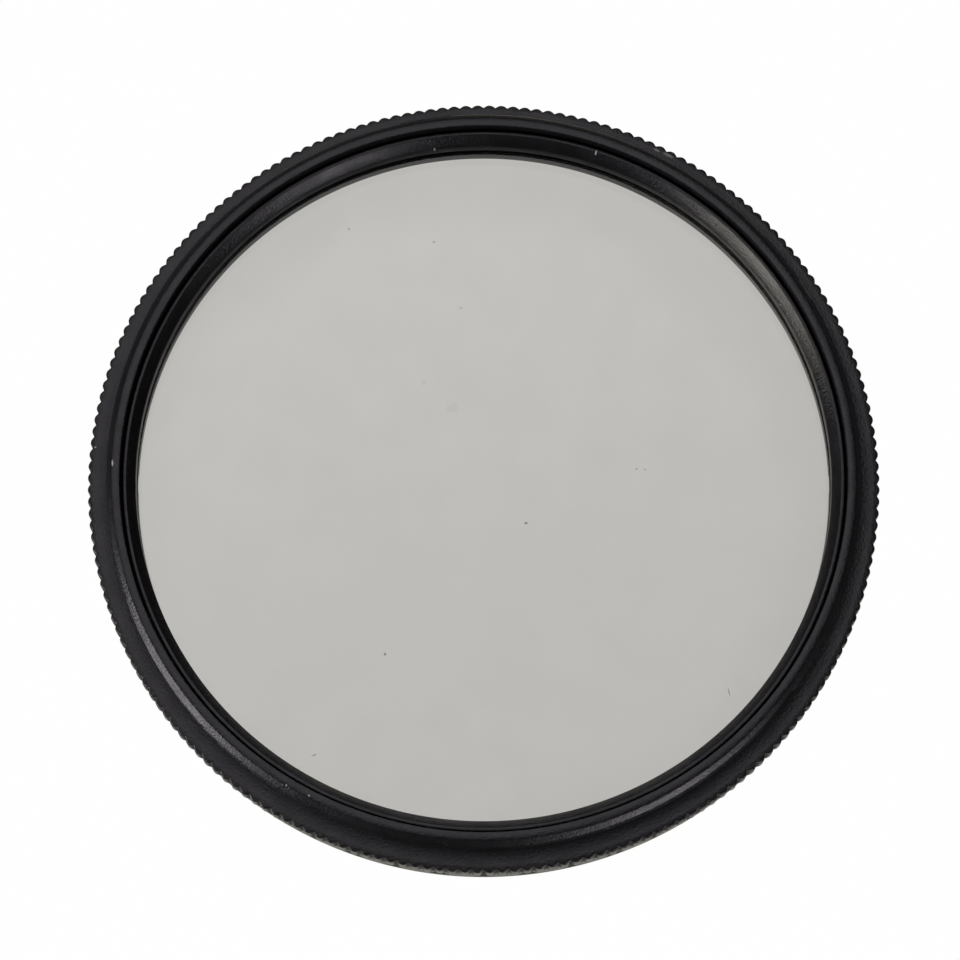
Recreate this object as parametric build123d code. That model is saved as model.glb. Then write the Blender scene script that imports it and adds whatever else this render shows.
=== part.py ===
from build123d import *
import os
from math import atan2, cos, degrees, pi, sin

# Screw-in polarising filter for a camera lens, in millimetres.
# It lies on its front rim at Z = 0, the thread for the lens points up, and +Z is the turning axis.

# Screw thread, the same size at both ends
thread_diameter = 52.0
thread_pitch = 0.75
minor_depth_ratio = 0.5413  # depth of an inside 60 degree thread, as a share of its pitch

# Mount ring: the knurled flange and the threaded sleeve that screws into the lens
flange_overhang = 1.46  # knurl tips beyond the thread's crest
flange_thickness = 1.95
flange_chamfer = 0.4
crown_width = 0.47  # slightly sloped outer edge of the shoulder, where the knurl runs out
crown_drop = 0.08
sleeve_length = 2.3
sleeve_end_chamfer = 0.43
sleeve_wall = 0.94
bearing_overhang = 0.3  # bearing bore beyond the thread's crest
bearing_web = 0.75  # metal between the bearing and the shoulder

# Straight knurl of the flange, fine, with flat-topped teeth
knurl_pitch = 0.853
knurl_depth = 0.25
knurl_land = 0.26

# Straight ribs of the grip, coarser, for the fingers
rib_pitch = 3.03
rib_depth = 0.3
rib_land = 1.7

# Front ring: the grip that turns, its collar in the bearing and the hub inside the sleeve
grip_height = 3.0
grip_overhang = 1.0
grip_chamfer = 0.36
bearing_clearance = 0.06
axial_clearance = 0.1
hub_gap = 0.23  # open gap between the hub and the sleeve
hub_recess = 0.72  # hub rim below the sleeve's end
hub_rim_width = 0.22
hub_cone_height = 1.22
front_thread_depth = 2.1
front_thread_chamfer = 0.45

# Seat of the glass inside the front ring
pocket_wall = 0.43
glass_clearance = 0.05
seat_width = 0.3
seat_ledge_width = 0.19
seat_lip_thickness = 0.54

# Polarising laminate: two glass plates with two films cemented between them
glass_thickness = 0.8
retarder_thickness = 0.08
polariser_thickness = 0.12

# Retaining ring that screws in behind the laminate, turned by two notches
retainer_shoulder = 0.64
retainer_clearance = 0.04
retainer_overlap = 0.24
retainer_height = 0.8
notch_width = 1.2
notch_depth = 0.4
notch_count = 2

# Open polygon of spring wire: its corners sit in the mount ring, its sides trap the front ring's collar
snap_sides = 16
snap_width = 0.35
snap_height = 0.4
snap_seat = 0.25  # how far the corners reach into the mount ring
snap_lift = 0.3  # spring above the flange's front face
snap_clearance = 0.05

# Radii that follow from the thread
thread_radius = thread_diameter / 2
thread_minor_radius = thread_radius - minor_depth_ratio * thread_pitch
flange_radius = thread_radius + flange_overhang
grip_radius = thread_radius + grip_overhang
bearing_radius = thread_radius + bearing_overhang
collar_radius = bearing_radius - bearing_clearance
sleeve_bore_radius = thread_radius - sleeve_wall
hub_radius = sleeve_bore_radius - hub_gap
hub_rim_radius = hub_radius - hub_rim_width
pocket_radius = hub_radius - pocket_wall
glass_radius = pocket_radius - glass_clearance
aperture_radius = glass_radius - seat_width
ledge_radius = aperture_radius + seat_ledge_width
retainer_bore_radius = thread_minor_radius - retainer_shoulder
retainer_radius = retainer_bore_radius - retainer_clearance
retainer_inner_radius = glass_radius - retainer_overlap

# Heights above the front rim
flange_bottom = grip_height + axial_clearance
shoulder = flange_bottom + flange_thickness
sleeve_end = shoulder + sleeve_length
bearing_ceiling = shoulder - bearing_web
collar_top = bearing_ceiling - axial_clearance
hub_rim = sleeve_end - hub_recess
ledge = hub_rim - hub_cone_height
glass_seat = ledge - seat_lip_thickness
retarder_top = glass_seat - glass_thickness
polariser_top = retarder_top - retarder_thickness
front_glass_top = polariser_top - polariser_thickness
front_glass_bottom = front_glass_top - glass_thickness
retainer_bottom = front_glass_bottom - retainer_height

# Spring ring and its groove, with a neck that leaves it room to close up as the rings are pushed together
snap_low = flange_bottom + snap_lift
snap_high = snap_low + snap_height
snap_side_angle = 2 * pi / snap_sides
snap_corner_radius = bearing_radius + snap_seat
snap_inner_corner_radius = snap_corner_radius - snap_width / cos(snap_side_angle / 2)
snap_flat_radius = snap_inner_corner_radius * cos(snap_side_angle / 2)
groove_radius = snap_corner_radius + snap_clearance
groove_low = snap_low - snap_clearance
groove_high = snap_high + snap_clearance
neck_radius = snap_flat_radius - snap_seat - snap_clearance
collar_bottom = snap_high + axial_clearance


# A body of revolution about Z from a closed outline of (radius, height) corners.
def turned(outline):
    corners = [(radius, 0, height) for radius, height in outline]
    return revolve(make_face(Polyline(*corners, close=True)), Axis.Z)


# A flat face at one height from a closed outline of (radius, angle) corners.
def level_face(outline, height):
    corners = [(radius * cos(angle), radius * sin(angle), height) for radius, angle in outline]
    return make_face(Polyline(*corners, close=True))


# A disc with straight flat-topped teeth between V grooves, its lower edge chamfered at 45 degrees
# and its upper edge sloped over a width and a drop.
def toothed_disc(tip_radius, pitch, depth, land, bottom, top, chamfer, slope_width, slope_drop):
    teeth = round(2 * pi * tip_radius / pitch)
    tooth_angle = 2 * pi / teeth
    half_land_angle = land / tip_radius / 2
    root_radius = tip_radius - depth
    facet_corner_radius = tip_radius * cos(half_land_angle) / cos(tooth_angle / 2)
    tooth_outline = []
    facet_outline = []
    for tooth in range(teeth):
        middle = tooth * tooth_angle
        groove = middle + tooth_angle / 2
        tooth_outline.append((tip_radius, middle - half_land_angle))
        tooth_outline.append((tip_radius, middle + half_land_angle))
        tooth_outline.append((root_radius, groove))
        facet_outline.append((facet_corner_radius, groove))
    up = (0, 0, 1)
    down = (0, 0, -1)
    low = bottom + chamfer
    high = top - slope_drop
    slope = degrees(atan2(slope_width, slope_drop))
    blank = extrude(level_face(facet_outline, low), high - low, dir=up)
    blank += extrude(level_face(facet_outline, low), chamfer, dir=down, taper=45)
    blank += extrude(level_face(facet_outline, high), slope_drop, dir=up, taper=slope)
    return blank & extrude(level_face(tooth_outline, bottom), top - bottom, dir=up)


# One flat round layer of the laminate.
def laminate_disc(bottom, top):
    return turned([(0, bottom), (glass_radius, bottom), (glass_radius, top), (0, top)])


# Mount ring
sleeve = turned([
    (0, flange_bottom),
    (thread_radius, flange_bottom),
    (thread_radius, sleeve_end - sleeve_end_chamfer),
    (thread_radius - sleeve_end_chamfer, sleeve_end),
    (0, sleeve_end),
])
mount_bore = turned([
    (0, flange_bottom),
    (bearing_radius, flange_bottom),
    (bearing_radius, groove_low),
    (groove_radius, groove_low),
    (groove_radius, groove_high),
    (bearing_radius, groove_high),
    (bearing_radius, bearing_ceiling),
    (sleeve_bore_radius, bearing_ceiling),
    (sleeve_bore_radius, sleeve_end),
    (0, sleeve_end),
])
flange = toothed_disc(
    flange_radius,
    knurl_pitch,
    knurl_depth,
    knurl_land,
    flange_bottom,
    shoulder,
    flange_chamfer,
    crown_width,
    crown_drop,
)
mount_ring = flange + sleeve - mount_bore

# Front ring
grip = toothed_disc(
    grip_radius,
    rib_pitch,
    rib_depth,
    rib_land,
    0,
    grip_height,
    grip_chamfer,
    grip_chamfer,
    grip_chamfer,
)
collar_and_hub = turned([
    (0, grip_height),
    (neck_radius, grip_height),
    (neck_radius, collar_bottom),
    (collar_radius, collar_bottom),
    (collar_radius, collar_top),
    (hub_radius, collar_top),
    (hub_radius, hub_rim),
    (0, hub_rim),
])
front_bore = turned([
    (0, 0),
    (thread_minor_radius + front_thread_chamfer, 0),
    (thread_minor_radius, front_thread_chamfer),
    (thread_minor_radius, front_thread_depth),
    (retainer_bore_radius, front_thread_depth),
    (retainer_bore_radius, front_glass_bottom),
    (pocket_radius, front_glass_bottom),
    (pocket_radius, glass_seat),
    (aperture_radius, glass_seat),
    (aperture_radius, ledge),
    (ledge_radius, ledge),
    (hub_rim_radius, hub_rim),
    (0, hub_rim),
])
front_ring = grip + collar_and_hub - front_bore

# Laminate, from the lens side to the front
rear_glass = laminate_disc(retarder_top, glass_seat)
retarder_film = laminate_disc(polariser_top, retarder_top)
polariser_film = laminate_disc(front_glass_top, polariser_top)
front_glass = laminate_disc(front_glass_bottom, front_glass_top)

# Retaining ring
retaining_ring = turned([
    (retainer_inner_radius, retainer_bottom),
    (retainer_radius, retainer_bottom),
    (retainer_radius, front_glass_bottom),
    (retainer_inner_radius, front_glass_bottom),
])
notch = Box(2 * retainer_radius, notch_width, 2 * notch_depth)
notch_reach = Pos(retainer_radius, 0, retainer_bottom)
for step in range(notch_count):
    retaining_ring -= Rot(0, 0, 360 * step / notch_count) * notch_reach * notch

# Spring ring, open over one side
snap_angles = [corner * snap_side_angle for corner in range(snap_sides)]
snap_outline = [(snap_corner_radius, angle) for angle in snap_angles]
snap_outline += [(snap_inner_corner_radius, angle) for angle in reversed(snap_angles)]
snap_ring = extrude(level_face(snap_outline, snap_low), snap_height, dir=(0, 0, 1))

os.makedirs("parts", exist_ok=True)
export_step(mount_ring, "parts/mount_ring.step")
export_step(front_ring, "parts/front_ring.step")
export_step(rear_glass, "parts/rear_glass.step")
export_step(retarder_film, "parts/retarder_film.step")
export_step(polariser_film, "parts/polariser_film.step")
export_step(front_glass, "parts/front_glass.step")
export_step(retaining_ring, "parts/retaining_ring.step")
export_step(snap_ring, "parts/snap_ring.step")
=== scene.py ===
from math import atan2, ceil, cos, hypot, pi, radians, sin

import bmesh
import bpy
from mathutils import Matrix, Vector


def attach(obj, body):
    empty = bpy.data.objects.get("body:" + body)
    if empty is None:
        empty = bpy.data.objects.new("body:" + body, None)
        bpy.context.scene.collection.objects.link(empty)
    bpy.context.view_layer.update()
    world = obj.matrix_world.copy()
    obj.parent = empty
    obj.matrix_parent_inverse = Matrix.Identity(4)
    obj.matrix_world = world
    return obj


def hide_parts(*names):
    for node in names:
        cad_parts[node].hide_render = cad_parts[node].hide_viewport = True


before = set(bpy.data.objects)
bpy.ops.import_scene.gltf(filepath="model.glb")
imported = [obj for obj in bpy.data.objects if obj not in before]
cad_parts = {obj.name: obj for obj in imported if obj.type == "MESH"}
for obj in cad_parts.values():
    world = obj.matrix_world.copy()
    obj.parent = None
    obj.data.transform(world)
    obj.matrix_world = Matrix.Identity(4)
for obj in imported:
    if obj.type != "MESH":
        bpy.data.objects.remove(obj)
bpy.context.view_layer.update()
mm = 0.001
smooth = {"interpolation_type": "SMOOTHSTEP"}
print("frame loaded:", sorted(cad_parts))


def linear(hexCode):  # sRGB hex to the linear colour that a shader takes
    parts = [int(hexCode[i:i + 2], 16) / 255 for i in (1, 3, 5)]
    return [c / 12.92 if c <= 0.04045 else ((c + 0.055) / 1.055) ** 2.4 for c in parts] + [1.0]


def addNode(tree, kind, inputs, out=0, **settings):  # adds a node with its values and links, gives an output
    node = tree.nodes.new("ShaderNode" + kind)
    for name, value in settings.items():
        setattr(node, name, value)
    for socket, value in inputs.items() if isinstance(inputs, dict) else enumerate(inputs):
        if isinstance(value, bpy.types.NodeSocket):
            tree.links.new(value, node.inputs[socket])
        else:
            node.inputs[socket].default_value = value
    return node.outputs[out] if node.outputs else None


def wire(bm, corners, closed):  # profile of (radius, height) corners in mm, in the XZ plane
    verts = [bm.verts.new((r, 0, z)) for r, z in corners]
    for pair in zip(verts, verts[1:] + verts[:1] if closed else verts[1:]):
        bm.edges.new(pair)
    return verts


def setRadius(v, radius):
    scale = radius / hypot(v.co.x, v.co.y)
    v.co.x *= scale
    v.co.y *= scale


def roundTurn(bm, spec, closed=False):  # one sector of the profile, its teeth cut, then copied round Z
    known = set(bm.verts)
    verts = wire(bm, spec["profile"], closed)
    corners = verts if closed else verts[1:-1]
    bmesh.ops.bevel(bm, geom=corners, offset=spec["rounding"], offset_type="OFFSET", affect="VERTICES",
                    segments=2, profile=0.5, material=-1)
    chain = [v for v in bm.verts if v not in known]
    links = {e for v in chain for e in v.link_edges}
    sector = 2 * pi / spec["sectors"]
    columns = len(spec["toothDrop"])
    bmesh.ops.spin(bm, geom=chain + list(links), cent=(0, 0, 0), axis=(0, 0, 1), angle=sector, steps=columns)
    fresh = [v for v in bm.verts if v not in known]
    for v in fresh:
        radius = hypot(v.co.x, v.co.y)
        if radius > spec["toothFloor"] and v.co.z > spec["toothLow"]:
            column = round(atan2(v.co.y, v.co.x) / sector * columns) % columns
            drop = spec["toothDepth"] * spec["toothDrop"][column]
            setRadius(v, radius - drop)
            v.co.z += drop * spec["upperSlope"] if v.co.z > spec["toothMiddle"] else -drop  # along the slopes
    edges = {e for v in fresh for e in v.link_edges}
    faces = {f for v in fresh for f in v.link_faces}
    bmesh.ops.spin(bm, geom=fresh + list(edges) + list(faces), cent=(0, 0, 0), axis=(0, 0, 1),
                   angle=2 * pi - sector, steps=spec["sectors"] - 1, use_duplicate=True)
    bmesh.ops.remove_doubles(bm, verts=[v for v in bm.verts if v not in known], dist=0.001)


def cutThread(bm, spec):  # right-hand thread, one turn up the helix and copies of it past both ends
    root, crest, pitch = spec["threadRoot"], spec["threadCrest"], spec["threadPitch"]
    low, high = spec["threadSpan"]
    middle = (root + crest) / 2
    shares = ((root, 0), (root, 1 / 6), (middle, 0.344), (crest, 0.521),
              (crest, 0.646), (middle, 0.823), (root, 1))
    wire(bm, [(r, low + (share - 1.5) * pitch) for r, share in shares], False)
    steps = spec["threadSteps"]
    bmesh.ops.spin(bm, geom=bm.verts[:] + bm.edges[:], cent=(0, 0, 0), axis=(0, 0, 1),
                   dvec=(0, 0, pitch / steps), angle=2 * pi, steps=steps)
    turn = bm.verts[:] + bm.edges[:] + bm.faces[:]
    for count in range(1, ceil((high - low) / pitch + 3)):
        copy = bmesh.ops.duplicate(bm, geom=turn)["geom"]
        verts = [v for v in copy if isinstance(v, bmesh.types.BMVert)]
        bmesh.ops.translate(bm, vec=(0, 0, count * pitch), verts=verts)
    bmesh.ops.remove_doubles(bm, verts=bm.verts, dist=pitch / 400)


def trim(bm, height, up):  # drops what lies above (up) or below a level plane
    geom = bm.verts[:] + bm.edges[:] + bm.faces[:]
    bmesh.ops.bisect_plane(bm, geom=geom, dist=1e-6, plane_co=(0, 0, height), plane_no=(0, 0, 1),
                           clear_outer=up, clear_inner=not up)


def joinLoops(bm, middle):  # joins the open loops above and below a height
    for upper in (True, False):
        rim = [e for e in bm.edges if e.is_boundary and (e.verts[0].co.z > middle) == upper]
        bmesh.ops.bridge_loops(bm, edges=rim)


def finishPiece(bm, name, body, nodes, material, sharp=42):  # mesh in mm to a piece on its body
    bmesh.ops.recalc_face_normals(bm, faces=bm.faces)
    bmesh.ops.scale(bm, vec=(mm, mm, mm), verts=bm.verts)
    for face in bm.faces:
        face.smooth = True
    for edge in bm.edges:
        edge.smooth = edge.is_manifold and edge.calc_face_angle() < radians(sharp)
    mesh = bpy.data.meshes.new(name)
    bm.to_mesh(mesh)
    openEdges = sum(not e.is_manifold for e in bm.edges)
    print(name, "open edges", openEdges, "volume", round(bm.calc_volume() / mm ** 3, 1))
    bm.free()
    mesh.materials.append(material)
    piece = bpy.data.objects.new(name, mesh)
    bpy.context.collection.objects.link(piece)
    piece.modifiers.new("flatFaces", "WEIGHTED_NORMAL").keep_sharp = True
    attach(piece, body)
    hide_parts(*nodes)


def surfaceMm(tree):  # a point of the surface in mm, its distance from the axis and its height
    point = addNode(tree, "TexCoord", {}, "Object")
    point = addNode(tree, "VectorMath", {0: point, "Scale": 1 / mm}, operation="SCALE")
    level = addNode(tree, "VectorMath", (point, (1, 1, 0)), operation="MULTIPLY")
    radius = addNode(tree, "VectorMath", (level,), "Value", operation="LENGTH")
    height = addNode(tree, "SeparateXYZ", (point,), "Z")
    return point, radius, height


strokes = {"grain": 0.12, "reach": 0.3}  # ragged edge and half height of a mark, in mm


def markMask(tree, point, marks, ragged=0.5):  # strokes: place in mm, length, width and turn in degrees
    broken = addNode(tree, "TexNoise", {"Vector": point, "Scale": 1 / strokes["grain"]})
    mask = 0.0
    for place, length, width, turn in marks:
        axes = (point, place, (0, 0, radians(turn)), (length / 2, width / 2, strokes["reach"]))
        local = addNode(tree, "Mapping", axes, vector_type="TEXTURE")
        reach = addNode(tree, "VectorMath", (local,), "Value", operation="LENGTH")
        reach = addNode(tree, "Math", (broken, ragged, reach), operation="MULTIPLY_ADD")
        stroke = addNode(tree, "MapRange", (reach, 1 + ragged / 2, 0.5 + ragged / 2), **smooth)
        mask = addNode(tree, "Math", (stroke, mask), operation="MAXIMUM")
    return mask


anodised = {
    "film": "#0b0a0c",
    "rubbed": "#1f1d1c",
    "grime": "#020202",
    "worn": "#7b7879",
    "bare": "#b5b2b4",
    "sheen": "#fcf6ff",
    "paintedReflectionTint": "#fdf9f1",
    "paintedReflectionPlace": (20.2, 13.2, 5.8),  # middle of the painted olive reflection on the hub wall, light come through the film
    "paintedReflectionReach": (11.0, 6.0),
    "paintedReflectionRadii": (24.75, 24.65),
    "specular": 0.45,
    "roughness": (0.35, 0.43),
    "ringSpacing": 0.16,
    "ringDepth": 0.002,
    "grainSize": 0.17,
    "grainDepth": 0.032,
    "cloudSize": 1.8,
    "cloudSpan": (0.3, 0.7),
    "rubSize": 0.3,
    "rubSpan": (0.35, 0.65),
    "knurlRadii": (26.95, 27.05),
    "grooveRadii": ((27.08, 27.12), (27.43, 27.3)),  # where the knurl's grooves begin and end
    "grooveHeights": ((3.0, 3.1), (4.93, 4.85)),
    "grooveRoughness": 0.85,
    "dirt": [((19.96, 13.43, 5.1), 0.3, 0.5, 33), ((20.33, 12.84, 5.1), 0.3, 0.55, 32)],  # at the seat's edge
    "rubs": [((12.3, 24.02, 5.04), 0.6, 0.22, 153), ((13.11, 23.64, 5.04), 1.05, 0.27, 152)],  # on the crown
    "nicks": [
        ((-25.5, 0.44, 7.32), 0.15, 0.55, 3), ((-26.98, 2.16, 5.05), 0.18, 0.14, 0),  # rim and shoulder
        ((-13.24, -21.87, 7.3), 0.16, 0.12, 30), ((-11.71, -22.56, 7.35), 0.17, 0.15, 0),
        ((-9.62, -22.95, 7.3), 0.24, 0.13, 155),
        ((7.93, 23.28, 6.54), 0.14, 0.48, 161), ((-3.48, 23.8, 5.7), 0.16, 0.26, 8),  # nicks inside the hub
    ],
}

# turned aluminium, etched and anodised black: nearly black with a soft satin sheen, faint lathe rings and
# a fine grain, greyer where the knurl has been handled, pale metal in the nicks
blackAnodised = bpy.data.materials.new("blackAnodisedAluminium")
blackAnodised.use_nodes = True
tree = blackAnodised.node_tree
shader = tree.nodes["Principled BSDF"]
point, radius, height = surfaceMm(tree)
# the lathe rings are drawn twice as wide as real ones and the grain coarser, to show
lathe = addNode(tree, "CombineXYZ", (radius, height))
rings = addNode(tree, "TexNoise", {"Vector": lathe, "Scale": 1 / anodised["ringSpacing"]})
grain = addNode(tree, "TexNoise", {"Vector": point, "Scale": 1 / anodised["grainSize"]})
cloud = addNode(tree, "TexNoise", {"Vector": point, "Scale": 1 / anodised["cloudSize"], "Detail": 3})
handled = addNode(tree, "TexNoise", {"Vector": point, "Scale": 1 / anodised["rubSize"], "Detail": 3})
onKnurl = addNode(tree, "MapRange", (radius, *anodised["knurlRadii"]), **smooth)
greyed = addNode(tree, "MapRange", (handled, *anodised["rubSpan"]), **smooth)
layers = [(addNode(tree, "Math", (onKnurl, greyed), operation="MULTIPLY"), "rubbed")]
for marks, tone in (("dirt", "grime"), ("rubs", "worn"), ("nicks", "bare")):
    layers.append((markMask(tree, point, anodised[marks]), tone))
colour = linear(anodised["film"])
for share, tone in layers:
    colour = addNode(tree, "Mix", {0: share, 6: colour, 7: linear(anodised[tone])}, 2, data_type="RGBA")
tree.links.new(colour, shader.inputs["Base Color"])
satin = addNode(tree, "MapRange", (cloud, *anodised["cloudSpan"], *anodised["roughness"]), **smooth)
inGroove = 1.0
for value, ends in ((radius, anodised["grooveRadii"]), (height, anodised["grooveHeights"])):
    for outer, inner in ends:
        limit = addNode(tree, "MapRange", (value, outer, inner), **smooth)
        inGroove = addNode(tree, "Math", (inGroove, limit), operation="MULTIPLY")
rough = addNode(tree, "MapRange", {"Value": inGroove, "To Min": satin, "To Max": anodised["grooveRoughness"]})
tree.links.new(rough, shader.inputs["Roughness"])
relief = addNode(tree, "Bump", {"Height": rings, "Distance": anodised["ringDepth"] * mm})
relief = addNode(tree, "Bump", {"Height": grain, "Distance": anodised["grainDepth"] * mm, "Normal": relief})
tree.links.new(relief, shader.inputs["Normal"])
# painted reflection: the hub wall's sheen turns olive round one place, standing in for light come through the
# film
away = addNode(tree, "VectorMath", (point, anodised["paintedReflectionPlace"]), "Value", operation="DISTANCE")
paintedReflection = addNode(tree, "MapRange", (away, *anodised["paintedReflectionReach"]), **smooth)
paintedReflection = addNode(tree, "MapRange", (radius, *anodised["paintedReflectionRadii"], 0, paintedReflection), **smooth)
tints = {0: paintedReflection, 6: linear(anodised["sheen"]), 7: linear(anodised["paintedReflectionTint"])}
tree.links.new(addNode(tree, "Mix", tints, 2, data_type="RGBA"), shader.inputs["Specular Tint"])
shader.inputs["Specular IOR Level"].default_value = anodised["specular"]

wireSteel = {
    "bright": "#a3a3a6",
    "dull": "#77777a",
    "roughness": (0.25, 0.4),
    "streak": 0.05,
    "streakSpan": (0.3, 0.7),
}

# hard-drawn spring wire: bright grey metal with fine streaks along the wire
springSteel = bpy.data.materials.new("drawnSpringSteel")
springSteel.use_nodes = True
tree = springSteel.node_tree
shader = tree.nodes["Principled BSDF"]
_, radius, height = surfaceMm(tree)
along = addNode(tree, "CombineXYZ", (radius, height))
streaks = addNode(tree, "TexNoise", {"Vector": along, "Scale": 1 / wireSteel["streak"]})
share = addNode(tree, "MapRange", (streaks, *wireSteel["streakSpan"]), **smooth)
tints = {0: share, 6: linear(wireSteel["dull"]), 7: linear(wireSteel["bright"])}
tree.links.new(addNode(tree, "Mix", tints, 2, data_type="RGBA"), shader.inputs["Base Color"])
rough = addNode(tree, "MapRange", (streaks, *wireSteel["streakSpan"], *wireSteel["roughness"]), **smooth)
tree.links.new(rough, shader.inputs["Roughness"])
shader.inputs["Metallic"].default_value = 1.0

polariser = {
    "clear": "#bfbdb9",
    "clouded": "#bdbbb7",
    "cloudSize": 4.0,
    "cloudSpan": (0.35, 0.65),
    "smear": "#b4b2ae",
    "smearRagged": 1.2,
    "smears": [((-2.21, 5.04, 4.87), 1.1, 0.9, 30), ((-4.2, 6.9, 4.87), 0.6, 0.4, 60)],
    "dust": "#5d5b56",
    "specks": [
        ((2.92, -3.21, 4.87), 0.3, 0.24, 20), ((-6.76, -12.43, 4.87), 0.22, 0.3, 0),
        ((-11.53, -19.41, 4.87), 0.42, 0.12, 20), ((16.74, -15.07, 4.87), 0.1, 0.7, 10),
        ((-3.51, 17.2, 4.87), 0.2, 0.16, 0), ((-1.59, 12.33, 4.87), 0.16, 0.14, 0),
        ((10.6, 0.65, 4.87), 0.2, 0.12, 40), ((11.2, 0.6, 4.87), 0.14, 0.12, 0),
        ((-9.52, 18.17, 4.87), 0.16, 0.16, 0),
    ],
}

# two polished plates of optical glass with a grey polarising film cemented between: clear, neutral grey,
# faintly clouded by the cement, with dust specks and one smear on the face
greyGlass = bpy.data.materials.new("polarisingGlass")
greyGlass.use_nodes = True
tree = greyGlass.node_tree
shader = tree.nodes["Principled BSDF"]
point = surfaceMm(tree)[0]
cloud = addNode(tree, "TexNoise", {"Vector": point, "Scale": 1 / polariser["cloudSize"], "Detail": 4})
layers = [
    (addNode(tree, "MapRange", (cloud, *polariser["cloudSpan"]), **smooth), "clouded"),
    (markMask(tree, point, polariser["smears"], polariser["smearRagged"]), "smear"),
    (markMask(tree, point, polariser["specks"]), "dust"),
]
colour = linear(polariser["clear"])
for share, tone in layers:
    colour = addNode(tree, "Mix", {0: share, 6: colour, 7: linear(polariser[tone])}, 2, data_type="RGBA")
tree.links.new(colour, shader.inputs["Base Color"])
shader.inputs["Roughness"].default_value = 0.0
shader.inputs["Transmission Weight"].default_value = 1.0
shader.inputs["IOR"].default_value = 1.52
print("materials made")

mount = {
    "sectors": 202,
    "toothDrop": (0, 0.1, 0.5, 1, 0.5, 0.1),  # rounded crown to sharp root, six columns a tooth
    "toothDepth": 0.2,
    "toothFloor": 27.28,
    "toothLow": 3.0,
    "toothMiddle": 4.07,
    "upperSlope": 0.17,
    "rounding": 0.05,
    "threadCrest": 26.0,
    "threadRoot": 25.56,
    "threadPitch": 0.75,
    "threadSteps": 404,
    "threadSpan": (5.1, 7.3),
    "footRadius": 25.7,
    "footTop": 5.35,
    "endRadius": 25.57,
    "endHeight": 7.35,
    "endStart": 6.9,
    "profile": [
        (25.76, 5.05), (26.99, 5.05), (27.37, 4.985), (27.458, 4.87), (27.458, 3.5), (27.06, 3.1), (26.3, 3.1),
        (26.3, 3.35), (26.6, 3.35), (26.6, 3.85), (26.3, 3.85), (26.3, 4.3), (25.02, 4.3), (25.02, 7.35),
        (25.53, 7.35),
    ],
}

bm = bmesh.new()
cutThread(bm, mount)
for v in bm.verts:
    if v.co.z < mount["footTop"]:
        setRadius(v, mount["footRadius"])  # plain relief where the thread runs out
    elif v.co.z > mount["endStart"]:
        chamfer = mount["endRadius"] + mount["endHeight"] - v.co.z
        setRadius(v, min(chamfer, mount["threadCrest"]))  # plain end chamfer, before the thread starts
trim(bm, mount["threadSpan"][1], True)
trim(bm, mount["threadSpan"][0], False)
roundTurn(bm, mount)
joinLoops(bm, sum(mount["threadSpan"]) / 2)
finishPiece(bm, "mountRing", "mount", ["mount_ring"], blackAnodised)

front = {
    "sectors": 56,
    "toothDrop": (1, 0.71, 0.43, 0.14, 0, 0, 0, 0, 0, 0, 0, 0, 0, 0.14, 0.43, 0.71),  # V grooves, flat ribs
    "toothDepth": 0.16,
    "toothFloor": 26.85,
    "toothLow": 0.82,  # plain lip below the ribs
    "toothMiddle": 0.82,
    "upperSlope": 1,
    "rounding": 0.04,
    "threadCrest": 25.594,
    "threadRoot": 26.03,
    "threadPitch": 0.75,
    "threadSteps": 404,
    "threadSpan": (0.04, 2.06),
    "reliefStart": 1.85,
    "leadInRadius": 26.044,
    "profile": [
        (26.1, 0), (26.78, 0), (27.14, 0.36), (27.14, 0.76), (27.14, 0.88), (27.14, 2.64), (26.78, 3.0),
        (25.39, 3.0), (25.39, 3.9), (26.24, 3.9), (26.24, 4.2), (24.84, 4.2), (24.84, 6.63), (24.61, 6.63),
        (24.05, 5.75), (24.05, 4.87), (24.4, 4.87), (24.4, 3.07), (24.954, 3.07), (24.954, 2.1), (25.98, 2.1),
    ],
}

bm = bmesh.new()
cutThread(bm, front)
for v in bm.verts:
    leadIn = front["leadInRadius"] - v.co.z
    if v.co.z > front["reliefStart"]:
        setRadius(v, front["threadRoot"])  # relief at the bottom of the thread
    elif hypot(v.co.x, v.co.y) < leadIn:
        setRadius(v, leadIn)  # lead-in chamfer
trim(bm, front["threadSpan"][1], True)
trim(bm, front["threadSpan"][0], False)
roundTurn(bm, front)
joinLoops(bm, sum(front["threadSpan"]) / 2)
finishPiece(bm, "frontRing", "rotor", ["front_ring"], blackAnodised)

retainer = {
    "sectors": 33,
    "toothDrop": (0,) * 12,
    "toothDepth": 0,
    "toothFloor": 30,  # past the ring, which has no teeth
    "toothLow": 0,
    "rounding": 0.05,
    "notchHalf": 0.6,
    "notchSlope": 0.02,
    "notchTop": 2.67,
    "profile": [(24.11, 2.27), (24.914, 2.27), (24.914, 3.07), (24.11, 3.07)],
}

bm = bmesh.new()
roundTurn(bm, retainer, closed=True)
for side in (-1, 1):
    for offset in (retainer["notchHalf"], retainer["notchHalf"] + retainer["notchSlope"]):
        geom = bm.verts[:] + bm.edges[:] + bm.faces[:]
        bmesh.ops.bisect_plane(bm, geom=geom, dist=1e-6, plane_co=(0, side * offset, 0), plane_no=(0, 1, 0))
for v in bm.verts:
    if abs(v.co.y) < retainer["notchHalf"] + 0.001 and v.co.z < retainer["notchTop"]:
        v.co.z = retainer["notchTop"]  # spanner notches
finishPiece(bm, "retainingRing", "rotor", ["retaining_ring"], blackAnodised)

laminate = {"radius": 24.35, "low": 3.07, "high": 4.87, "segments": 264, "edgeChamfer": 0.12}

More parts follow.
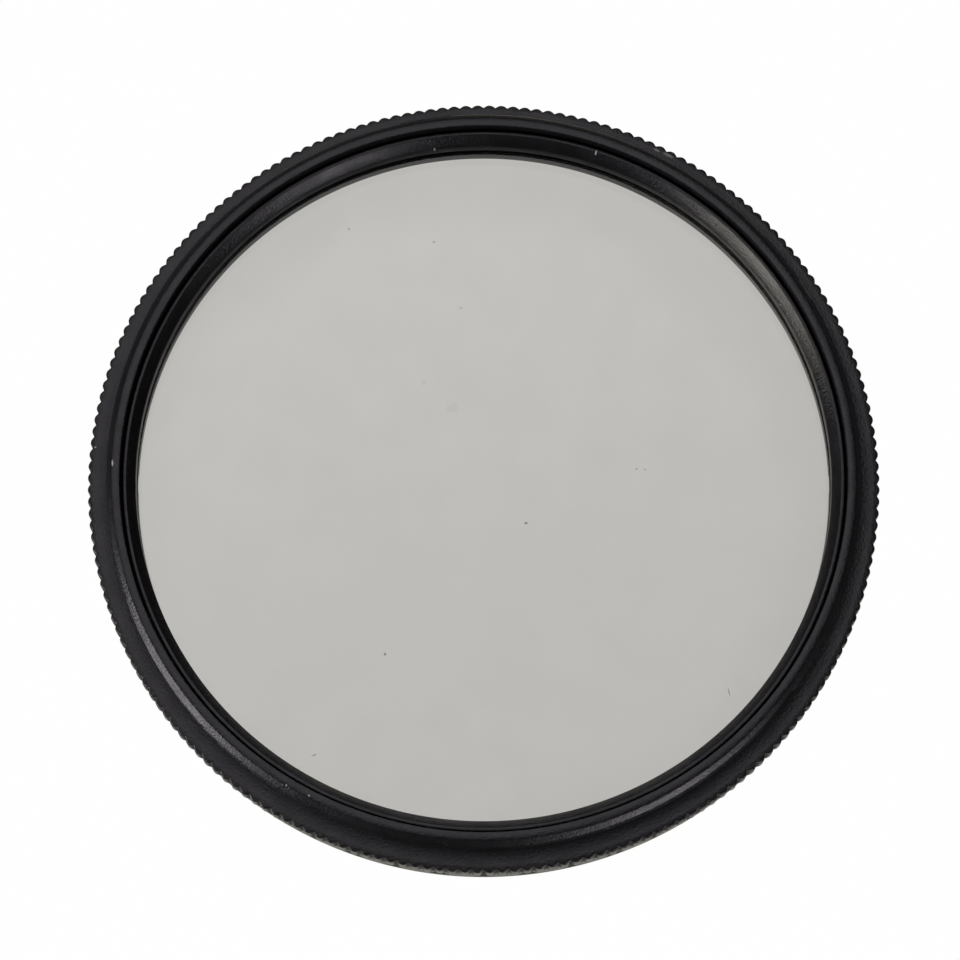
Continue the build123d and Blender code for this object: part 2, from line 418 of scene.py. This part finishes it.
bm = bmesh.new()
bmesh.ops.create_cone(bm, cap_ends=True, segments=laminate["segments"], radius1=laminate["radius"],
                      radius2=laminate["radius"], depth=laminate["high"] - laminate["low"],
                      matrix=Matrix.Translation((0, 0, (laminate["high"] + laminate["low"]) / 2)))
rims = [e for e in bm.edges if abs(e.verts[0].co.z - e.verts[1].co.z) < 0.01]
bmesh.ops.bevel(bm, geom=rims, offset=laminate["edgeChamfer"], offset_type="OFFSET", affect="EDGES",
                segments=2, profile=0.5, material=-1)
finishPiece(bm, "laminate", "rotor", ["rear_glass", "retarder_film", "polariser_film", "front_glass"],
            greyGlass)

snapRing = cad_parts["snap_ring"]
snapRing.data.materials.clear()
snapRing.data.materials.append(springSteel)
print("pieces made")

studio = {
    "floorSize": 1.5,
    "floorDrop": 0.02,
    "paperGrey": "#6c6c6c",
    "paperWhite": "#ffffff",
    "glossColour": "#fffdf0",
    "whiteShare": 0.993,
    "slant": (-0.3, 1, 0),  # from the near right to the far left, metres as all that follows
    "toneSpan": (-0.03, 0.03),
    "paintedLightThrough": (0.878, 1.0),  # paper seen through the glass, painted lighter at the back as the light falls
    "shadeCentre": (-0.001, -0.0015, 0),
    "shadeSpan": (0.02, 0.025),
    "footShade": 0.93,  # in the shade of the ring
    "directDepth": 2.5,  # a ray straight through the glass
    "mirrorSpan": (0.004, -0.012),
    "mirrorTone": 0.85,  # painted light on the paper, shown again by the near wall of the hub
    "underSpan": (0.02, 0.008),
    "glossUnder": (0.25, 0.9),  # under the filter, lit through the glass
    "rimSpan": (0.019, 0.0225),  # painted light on the paper that the edge of the seat shows
    "nearSpan": (0.0255, 0.0265),
    "glossNear": 0.8,
    "farSpan": (0.029, 0.04),
    "glossFar": 0.02,
    "air": 0.05,
    "keyBox": {"azimuth": 205, "elevation": 8, "distance": 0.4, "width": 0.2, "height": 0.11, "watts": 0.95},
    "fillBox": {"azimuth": 305, "elevation": 4, "distance": 0.4, "width": 0.15, "height": 0.06, "watts": 0.5},
    "topBox": {"azimuth": 112, "elevation": 71, "distance": 0.5, "width": 0.55, "height": 0.55, "watts": 1.2},
}

bm = bmesh.new()
bmesh.ops.create_grid(bm, x_segments=1, y_segments=1, size=studio["floorSize"])
bmesh.ops.translate(bm, vec=(0, 0, -studio["floorDrop"] * mm), verts=bm.verts)
floorMesh = bpy.data.meshes.new("floor")
bm.to_mesh(floorMesh)
bm.free()
floor = bpy.data.objects.new("floor", floorMesh)
bpy.context.collection.objects.link(floor)

# white paper, lit from all round: white to the eye, dimmer where the filter shows it again
paper = bpy.data.materials.new("whitePaper")
paper.use_nodes = True
tree = paper.node_tree
tree.nodes.clear()
isSeen = addNode(tree, "LightPath", {}, "Is Camera Ray")
isGlass = addNode(tree, "LightPath", {}, "Is Transmission Ray")
isGlossy = addNode(tree, "LightPath", {}, "Is Glossy Ray")
depth = addNode(tree, "LightPath", {}, "Ray Depth")
place = addNode(tree, "TexCoord", {}, "Object")
away = addNode(tree, "VectorMath", (place,), "Value", operation="LENGTH")
across = addNode(tree, "VectorMath", (place, studio["slant"]), "Value", operation="DOT_PRODUCT")
# painted light: the paper seen through the glass grows lighter from the near right to the far left
tone = addNode(tree, "MapRange", (across, *studio["toneSpan"], *studio["paintedLightThrough"]), **smooth)
inside = addNode(tree, "VectorMath", (place, studio["shadeCentre"]), "Value", operation="DISTANCE")
shade = addNode(tree, "MapRange", (inside, *studio["shadeSpan"], 1, studio["footShade"]), **smooth)
tone = addNode(tree, "Math", (tone, shade), operation="MULTIPLY")
reach = addNode(tree, "Math", (depth, studio["directDepth"]), operation="LESS_THAN")
# painted light: rays sent back by the hub wall find the paper glowing only towards the near right
mirrored = addNode(tree, "MapRange", (across, *studio["mirrorSpan"], 0, studio["mirrorTone"]), **smooth)
under = addNode(tree, "MapRange", (across, *studio["underSpan"], *studio["glossUnder"]), **smooth)
rim = addNode(tree, "MapRange", (away, *studio["rimSpan"], 0, under), **smooth)
for more in (mirrored, rim):
    reach = addNode(tree, "Math", (reach, more), operation="MAXIMUM")
through = addNode(tree, "Math", (reach, isGlass), operation="MULTIPLY")
seen = addNode(tree, "Math", (isSeen, through), operation="MAXIMUM")
seen = addNode(tree, "Math", (seen, studio["whiteShare"]), operation="MULTIPLY")
# painted light: reflections find the paper bright in a ring round the filter's foot and nearly dark further
# out
gloss = addNode(tree, "MapRange", (away, *studio["nearSpan"], under, studio["glossNear"]), **smooth)
gloss = addNode(tree, "MapRange", (away, *studio["farSpan"], gloss, studio["glossFar"]), **smooth)
isMetal = addNode(tree, "Math", (isGlossy, isGlass), operation="GREATER_THAN")  # glass rays are glossy too
gloss = addNode(tree, "Math", (isMetal, gloss), operation="MULTIPLY")
share = addNode(tree, "Math", (seen, gloss), operation="MAXIMUM")
bright = addNode(tree, "MapRange", {"Value": through, "To Min": 1, "To Max": tone})
tints = {0: isMetal, 6: linear(studio["paperWhite"]), 7: linear(studio["glossColour"])}
tint = addNode(tree, "Mix", tints, 2, data_type="RGBA")
matt = addNode(tree, "BsdfDiffuse", {"Color": linear(studio["paperGrey"])})
white = addNode(tree, "Emission", {"Color": tint, "Strength": bright})
addNode(tree, "OutputMaterial", {"Surface": addNode(tree, "MixShader", (share, matt, white))})
floorMesh.materials.append(paper)

world = bpy.data.worlds.new("studioAir")
bpy.context.scene.world = world
world.use_nodes = True
tree = world.node_tree
tree.nodes.clear()
isSeen = addNode(tree, "LightPath", {}, "Is Camera Ray")
strength = addNode(tree, "MapRange", {"Value": isSeen, "To Min": studio["air"], "To Max": 1})
air = addNode(tree, "Background", {"Color": linear(studio["paperWhite"]), "Strength": strength})
addNode(tree, "OutputWorld", {"Surface": air})


def softbox(name):  # area lamp aimed at the filter
    spec = studio[name]
    lamp = bpy.data.lights.new(name, "AREA")
    lamp.shape = "RECTANGLE"
    lamp.size = spec["width"]
    lamp.size_y = spec["height"]
    lamp.energy = spec["watts"]
    box = bpy.data.objects.new(name, lamp)
    bpy.context.collection.objects.link(box)
    az, el = radians(spec["azimuth"]), radians(spec["elevation"])
    box.location = Vector((cos(az) * cos(el), sin(az) * cos(el), sin(el))) * spec["distance"]
    box.rotation_euler = box.location.to_track_quat("Z", "Y").to_euler()


for name in ("keyBox", "fillBox", "topBox"):
    softbox(name)

view = {
    "distance": 228.687,
    "tilt": 14.21,
    "lens": 123.72,
    "sensor": 36,
    "clip": 0.01,
    "right": 0.256,
    "up": 0.181,
    "shoulder": 5.05,
}
tilt = radians(view["tilt"])
upward = Vector((0, cos(tilt), sin(tilt)))
back = Vector((0, -sin(tilt), cos(tilt)))
camera = bpy.data.cameras.new("camera")
camera.sensor_width = view["sensor"]
camera.lens = view["lens"]
camera.clip_start = view["clip"]
eye = bpy.data.objects.new("camera", camera)
bpy.context.collection.objects.link(eye)
aim = Vector((-view["right"], 0, view["shoulder"])) - upward * view["up"]
eye.location = (aim + back * view["distance"]) * mm
eye.rotation_euler = (tilt, 0, 0)
bpy.context.scene.camera = eye
bpy.context.scene.view_settings.view_transform = "Standard"
print("studio and camera set")
